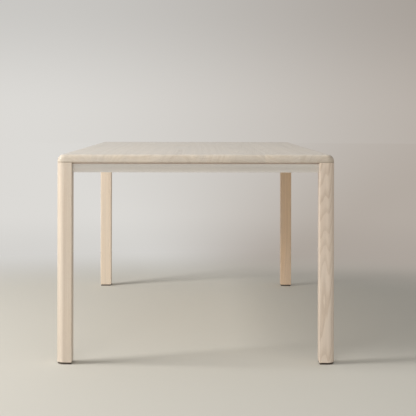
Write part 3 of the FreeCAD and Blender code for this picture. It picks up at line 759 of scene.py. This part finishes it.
plain = made_by(
    bolt, bar, Radius=bolt_size["Plain radius"], **NO_THREAD, **NO_CONES,
    Length=raised(bolt, bolt_size["Plain length"], bolt_size["Chamfer"], 2.0),
    Sides=BOLT_SIDES, Rows=PLAIN_ROWS,
)
machine_start = reckon(bolt, "ADD", bolt_size["Wood length"], bolt_size["Plain length"])
machine_end = made_by(
    bolt, bar, Radius=bolt_size["Radius"], Depth=bolt_size["Machine depth"], Root=MACHINE_ROOT,
    Pitch=bolt_size["Machine pitch"], Length=reckon(bolt, "SUBTRACT", bolt_size["Length"], machine_start),
    Point=bolt_size["Chamfer"], Point_share=MACHINE_END_SHARE, End=bolt_size["Chamfer"],
    End_share=MACHINE_END_SHARE, Sides=BOLT_SIDES, Rows=bolt_size["Machine rows"],
)
whole = cut_or_join(
    bolt, "UNION", wood_end, lifted(bolt, plain, plain_start), lifted(bolt, machine_end, machine_start),
)
set_out(bolt, bolt_size, whole, bolted)

# A hexagon of bar stock standing on the origin, with its corners turned off at both ends
HEXAGON_TURNED = {"Point_share": 0.83, "End_share": 0.83, "Sides": 48, "Rows": 16}
HEXAGON_TURNING_SHARE = 0.06
hexagon, hexagon_size, hexagoned = open_group(
    "hexagon_stock", "GeometryNodeTree", {"Across flats": "Float", "Height": "Float"}, {"Mesh": "Geometry"},
)
corner_radius = reckon(hexagon, "DIVIDE", hexagon_size["Across flats"], 2 * math.cos(math.radians(30)))
six_sided = {"Vertices": 6, "Radius": corner_radius, "Depth": hexagon_size["Height"]}
six_sided = add(hexagon, "GeometryNodeMeshCylinder", six_sided).outputs["Mesh"]
six_sided = lifted(hexagon, six_sided, reckon(hexagon, "MULTIPLY", hexagon_size["Height"], 0.5))
turning = reckon(hexagon, "MULTIPLY", hexagon_size["Across flats"], HEXAGON_TURNING_SHARE)
round_stock = made_by(
    hexagon, bar, Radius=corner_radius, **NO_THREAD, Length=hexagon_size["Height"], Point=turning,
    End=turning, **HEXAGON_TURNED,
)
hexagon.links.new(cut_or_join(hexagon, "INTERSECT", six_sided, round_stock), hexagoned["Mesh"])

NUT_ACROSS = 0.013
NUT_HEIGHT = 0.0065
NUT_BORE = 0.00415
NUT_BORE_SIDES = 32
NUT_BORE_OVERRUN = 4.0
nut, nut_size, nutted = open_group(
    "hexagon_nut", "GeometryNodeTree",
    {**SEAT_SOCKETS, "Across flats": "Float", "Height": "Float", "Bore": "Float"}, {"Mesh": "Geometry"},
)
solid_nut = made_by(nut, hexagon, Across_flats=nut_size["Across flats"], Height=nut_size["Height"])
bore_depth = reckon(nut, "MULTIPLY", nut_size["Height"], NUT_BORE_OVERRUN)
bore = {"Vertices": NUT_BORE_SIDES, "Radius": nut_size["Bore"], "Depth": bore_depth}
bore = add(nut, "GeometryNodeMeshCylinder", bore).outputs["Mesh"]
set_out(nut, nut_size, cut_or_join(nut, "DIFFERENCE", solid_nut, bore), nutted)


def corner_seats(distance):
    """A place and a facing on each corner's diagonal, at a distance from the outer corner of the top."""
    seats = []
    for side, end in CORNERS.values():
        inward = Vector((-side, -end, 0.0)).normalized()
        outer = Vector((side * cad_high[0], end * cad_high[1], BOLT_LEVEL))
        seats.append((outer + inward * distance, inward))
    return seats


bolt_length = BOLT_END - BOLT_TIP
wood_length = BOLT_FLAT - BOLT_TIP
machine_length = bolt_length - wood_length - PLAIN_LENGTH
bolt_sizes = {
    "Seed": 21, "Radius": BOLT_RADIUS, "Plain radius": PLAIN_RADIUS, "Length": bolt_length,
    "Wood length": wood_length, "Plain length": PLAIN_LENGTH, "Wood pitch": WOOD_PITCH,
    "Wood depth": WOOD_DEPTH, "Point": BOLT_POINT, "Machine pitch": MACHINE_PITCH,
    "Machine depth": MACHINE_DEPTH, "Chamfer": BOLT_CHAMFER,
    "Wood rows": round(wood_length / WOOD_PITCH * WOOD_ROWS_PER_TURN),
    "Machine rows": round(machine_length / MACHINE_PITCH * MACHINE_ROWS_PER_TURN),
}
grow("hanger_bolt_set", bolt, corner_seats(BOLT_TIP), bolt_sizes, turned_zinc, "table", "hanger_bolts")
nut_sizes = {"Seed": 22, "Across flats": NUT_ACROSS, "Height": NUT_HEIGHT, "Bore": NUT_BORE}
grow("hanger_nut_set", nut, corner_seats(BOLT_NUT_SEAT), nut_sizes, turned_zinc, "table", "hanger_bolt_nuts")

# Leg inserts. Turned steel barrels with a thin flange, pressed into the foot of each leg and threaded inside
# for the levelling feet.
dress(turned_zinc, "leg_inserts")

# Foot stems. Each is one turned piece: a threaded shank that goes up into the insert, a hexagon collar for a
# spanner, and below a short neck a button head that snaps into the pad.
STEM_PLACE = (0.480, 0.8865)
STEM_RADIUS = 0.004
STEM_TOP = 0.042
COLLAR_LOW = 0.0039
COLLAR_HIGH = 0.0062
COLLAR_ACROSS = 0.014
NECK_RADIUS = 0.003
NECK_SIDES = 24
NECK_ROWS = 2
BUTTON_LOW = 0.0012
BUTTON_HIGH = 0.0024
BUTTON_RADIUS = 0.0055
BUTTON_ROUND = 0.0004
STEM_LAP = 0.0003
stem, stem_size, stemmed = open_group(
    "levelling_stem", "GeometryNodeTree",
    {
        **SEAT_SOCKETS, "Radius": "Float", "Pitch": "Float", "Thread depth": "Float", "Top": "Float",
        "Chamfer": "Float", "Rows": "Int", "Across flats": "Float", "Collar low": "Float",
        "Collar high": "Float", "Neck radius": "Float", "Button low": "Float", "Button high": "Float",
        "Button radius": "Float", "Button round": "Float", "Lap": "Float",
    },
    {"Mesh": "Geometry"},
)
shank_low = reckon(stem, "SUBTRACT", stem_size["Collar high"], stem_size["Lap"])
shank = made_by(
    stem, bar, Radius=stem_size["Radius"], Depth=stem_size["Thread depth"], Root=MACHINE_ROOT,
    Pitch=stem_size["Pitch"], Length=reckon(stem, "SUBTRACT", stem_size["Top"], shank_low), Point=0.0,
    Point_share=1.0, End=stem_size["Chamfer"], End_share=MACHINE_END_SHARE, Sides=BOLT_SIDES,
    Rows=stem_size["Rows"],
)
collar_height = reckon(stem, "SUBTRACT", stem_size["Collar high"], stem_size["Collar low"])
collar = made_by(stem, hexagon, Across_flats=stem_size["Across flats"], Height=collar_height)
neck_low = reckon(stem, "SUBTRACT", stem_size["Button high"], stem_size["Lap"])
neck_high = reckon(stem, "ADD", stem_size["Collar low"], stem_size["Lap"])
neck = made_by(
    stem, bar, Radius=stem_size["Neck radius"], **NO_THREAD, **NO_CONES,
    Length=reckon(stem, "SUBTRACT", neck_high, neck_low), Sides=NECK_SIDES, Rows=NECK_ROWS,
)
foot_button = made_by(
    stem, button, Radius=stem_size["Button radius"], Round=stem_size["Button round"],
    Height=reckon(stem, "SUBTRACT", stem_size["Button high"], stem_size["Button low"]),
)
whole = cut_or_join(
    stem, "UNION", lifted(stem, shank, shank_low), lifted(stem, collar, stem_size["Collar low"]),
    lifted(stem, neck, neck_low), lifted(stem, foot_button, stem_size["Button low"]),
)
set_out(stem, stem_size, whole, stemmed)
stem_sizes = {
    "Seed": 23, "Radius": STEM_RADIUS, "Pitch": MACHINE_PITCH, "Thread depth": MACHINE_DEPTH,
    "Top": STEM_TOP, "Chamfer": BOLT_CHAMFER,
    "Rows": round((STEM_TOP - COLLAR_HIGH) / MACHINE_PITCH * MACHINE_ROWS_PER_TURN),
    "Across flats": COLLAR_ACROSS, "Collar low": COLLAR_LOW, "Collar high": COLLAR_HIGH,
    "Neck radius": NECK_RADIUS, "Button low": BUTTON_LOW, "Button high": BUTTON_HIGH,
    "Button radius": BUTTON_RADIUS, "Button round": BUTTON_ROUND, "Lap": STEM_LAP,
}
for corner, (side, end) in CORNERS.items():
    seat = (Vector((side * STEM_PLACE[0], end * STEM_PLACE[1], 0.0)), Vector((0.0, 0.0, 1.0)))
    name, body, replaced = "levelling_" + corner, "stem_" + corner, "foot_stem_" + corner
    grow(name, stem, [seat], stem_sizes, turned_zinc, body, replaced)

# Foot pads. Brown-black nylon plates, moulded with a fine spark-eroded grain, that follow the outline of the
# legs' ends and snap over the stems.
NYLON = (0.095, 0.073, 0.056)
NYLON_SCUFFED = (0.16, 0.13, 0.10)
NYLON_ROUGHNESS = 0.45
SPARK_GRAIN = ((2600.0, 2600.0, 2600.0), (1.0, 2.0, 3.0), 2.0)
SPARK_ROUGHNESS = 0.2
SPARK_RELIEF = 0.4
SPARK_DEPTH = 0.0001
SCUFFS = ((120.0, 120.0, 120.0), (4.0, 5.0, 6.0), 3.0)
SCUFF_RIM = (0.45, 0.75)
SCUFF_MOST = 0.5
nylon = bpy.data.materials.new("black_nylon_moulded")
nylon.use_nodes = True
tree = nylon.node_tree
surface = tree.nodes["Principled BSDF"]
place = add(tree, "ShaderNodeTexCoord").outputs["Object"]
spark = speckle(tree, place, *SPARK_GRAIN)[0]
scuffed = between(tree, speckle(tree, place, *SCUFFS)[0], *SCUFF_RIM, 0.0, SCUFF_MOST)
scuffed = blend(tree, scuffed, (*NYLON, 1.0), (*NYLON_SCUFFED, 1.0))
tree.links.new(scuffed, surface.inputs["Base Color"])
tree.links.new(raised(tree, NYLON_ROUGHNESS, spark, SPARK_ROUGHNESS), surface.inputs["Roughness"])
relief = {"Height": spark, "Strength": SPARK_RELIEF, "Distance": SPARK_DEPTH}
tree.links.new(add(tree, "ShaderNodeBump", relief).outputs[0], surface.inputs["Normal"])
dress(nylon, *["foot_pad_" + corner for corner in CORNERS])

# Stage. A plain pale floor whose far part glows in the background's colour. The background carries painted
# light, lighter on the side of the key light and dimmer to the right and upwards, and painted shade makes it
# a little darker where the two meet.
FLOOR_RADIUS = 30.0
FLOOR_SIDES = 96
FLOOR_MIDDLE = (0.0, -1.2, 0.0)
FLOOR_FADE = (2.1, 3.5)
FLOOR_COLOUR = (0.635, 0.617, 0.562, 1.0)
FLOOR_ROUGHNESS = 0.85
# Painted light on the background: its lit and shaded sides, how it dims upwards, and the painted shade at
# its foot
BACKGROUND_PAINTED_LIT = (0.715, 0.70, 0.672, 1.0)
BACKGROUND_PAINTED_SHADED = (0.452, 0.405, 0.362, 1.0)
BACKGROUND_REACH = (-0.19, 0.31)
BACKGROUND_TOP = 0.11
BACKGROUND_TOP_SHARE = 0.82
FOOT_PAINTED_SHADE = (2.8, 6.4)
FOOT_PAINTED_SHADE_SHARE = 0.91
AMBIENT_COLOUR = (1.0, 0.985, 0.96, 1.0)
AMBIENT_STRENGTH = 0.415
LAMP_COLOUR = (1.0, 0.98, 0.95)


def painted_background(tree, direction):
    """The background's colour in a direction from the stage's middle, with painted light: dimmer to the
    right and upwards.
    """
    way = add(tree, "ShaderNodeSeparateXYZ", {0: direction}).outputs
    across = between(tree, way[0], *BACKGROUND_REACH, 0.0, 1.0)
    share = between(tree, way[2], 0.0, BACKGROUND_TOP, 1.0, BACKGROUND_TOP_SHARE)
    level = blend(tree, across, BACKGROUND_PAINTED_LIT, BACKGROUND_PAINTED_SHADED)
    return add(tree, "ShaderNodeHueSaturation", {"Value": share, "Color": level}).outputs[0]


scene = bpy.context.scene
scene.view_settings.view_transform = "Standard"
world = bpy.data.worlds.new("studio")
world.use_nodes = True
scene.world = world
tree = world.node_tree
tree.nodes.clear()
direction = add(tree, "ShaderNodeTexCoord").outputs["Generated"]
seen = add(tree, "ShaderNodeBackground", {"Color": painted_background(tree, direction), "Strength": 1.0})
ambient = add(tree, "ShaderNodeBackground", {"Color": AMBIENT_COLOUR, "Strength": AMBIENT_STRENGTH})
ray = add(tree, "ShaderNodeLightPath").outputs
shown = reckon(tree, "MAXIMUM", ray["Is Camera Ray"], ray["Is Glossy Ray"])
shown = reckon(tree, "MAXIMUM", shown, ray["Is Transmission Ray"])
mixed = add(tree, "ShaderNodeMixShader", {0: shown, 1: ambient.outputs[0], 2: seen.outputs[0]})
add(tree, "ShaderNodeOutputWorld", {"Surface": mixed.outputs[0]})

floor_mesh = bpy.data.meshes.new("floor")
sheet = bmesh.new()
bmesh.ops.create_circle(sheet, cap_ends=True, segments=FLOOR_SIDES, radius=FLOOR_RADIUS)
sheet.to_mesh(floor_mesh)
sheet.free()
floor = bpy.data.objects.new("floor", floor_mesh)
scene.collection.objects.link(floor)
floor_paint = bpy.data.materials.new("floor_paint")
floor_paint.use_nodes = True
tree = floor_paint.node_tree
surface = tree.nodes["Principled BSDF"]
surface.inputs["Base Color"].default_value = FLOOR_COLOUR
surface.inputs["Roughness"].default_value = FLOOR_ROUGHNESS
place = add(tree, "ShaderNodeTexCoord").outputs["Object"]
distance = {0: place, 1: FLOOR_MIDDLE}
distance = add(tree, "ShaderNodeVectorMath", distance, operation="DISTANCE").outputs["Value"]
far = between(tree, distance, *FLOOR_FADE, 0.0, 1.0)
outward = add(tree, "ShaderNodeVectorMath", {0: place}, operation="NORMALIZE").outputs[0]
# Painted shade: the glowing background is dimmer near where it meets the floor
foot_shade = between(tree, distance, *FOOT_PAINTED_SHADE, FOOT_PAINTED_SHADE_SHARE, 1.0)
glowing_backdrop = add(tree, "ShaderNodeEmission", {"Color": painted_background(tree, outward), "Strength": foot_shade})
faded = add(tree, "ShaderNodeMixShader", {0: far, 1: surface.outputs[0], 2: glowing_backdrop.outputs[0]})
clear = add(tree, "ShaderNodeBsdfTransparent")
under = add(tree, "ShaderNodeNewGeometry").outputs["Backfacing"]
under = reckon(tree, "MULTIPLY", under, add(tree, "ShaderNodeLightPath").outputs["Is Camera Ray"])
one_sided = add(tree, "ShaderNodeMixShader", {0: under, 1: faded.outputs[0], 2: clear.outputs[0]})
tree.links.new(one_sided.outputs[0], tree.nodes["Material Output"].inputs["Surface"])
floor_mesh.materials.append(floor_paint)


def soft_light(name, place, aim, size, power):
    """A large square lamp with soft edges, turned to face a point."""
    lamp = bpy.data.lights.new(name, "AREA")
    lamp.size = size
    lamp.energy = power
    lamp.color = LAMP_COLOUR
    held = bpy.data.objects.new(name, lamp)
    held.location = place
    held.rotation_euler = (Vector(aim) - Vector(place)).to_track_quat("-Z", "Y").to_euler()
    held.visible_camera = False
    scene.collection.objects.link(held)


soft_light("key_light", (-4.1, -1.3, 3.25), aim=(0.0, -0.2, 0.5), size=1.8, power=195.0)
soft_light("front_light", (-1.25, -5.2, 1.8), aim=(0.0, 0.0, 0.4), size=2.2, power=58.0)

# Camera. Level, looking along the length of the table at its short end, with the lens shifted down.
camera_data = bpy.data.cameras.new("camera")
camera_data.sensor_width = 36.0
camera_data.lens = 91.1
camera_data.shift_x = 0.0274
camera_data.shift_y = -0.2230
camera = bpy.data.objects.new("camera", camera_data)
camera.location = (0.0027, -4.7555, 0.910)
camera.rotation_euler = (math.radians(90), math.radians(-0.08), 0.0)
scene.collection.objects.link(camera)
scene.camera = camera
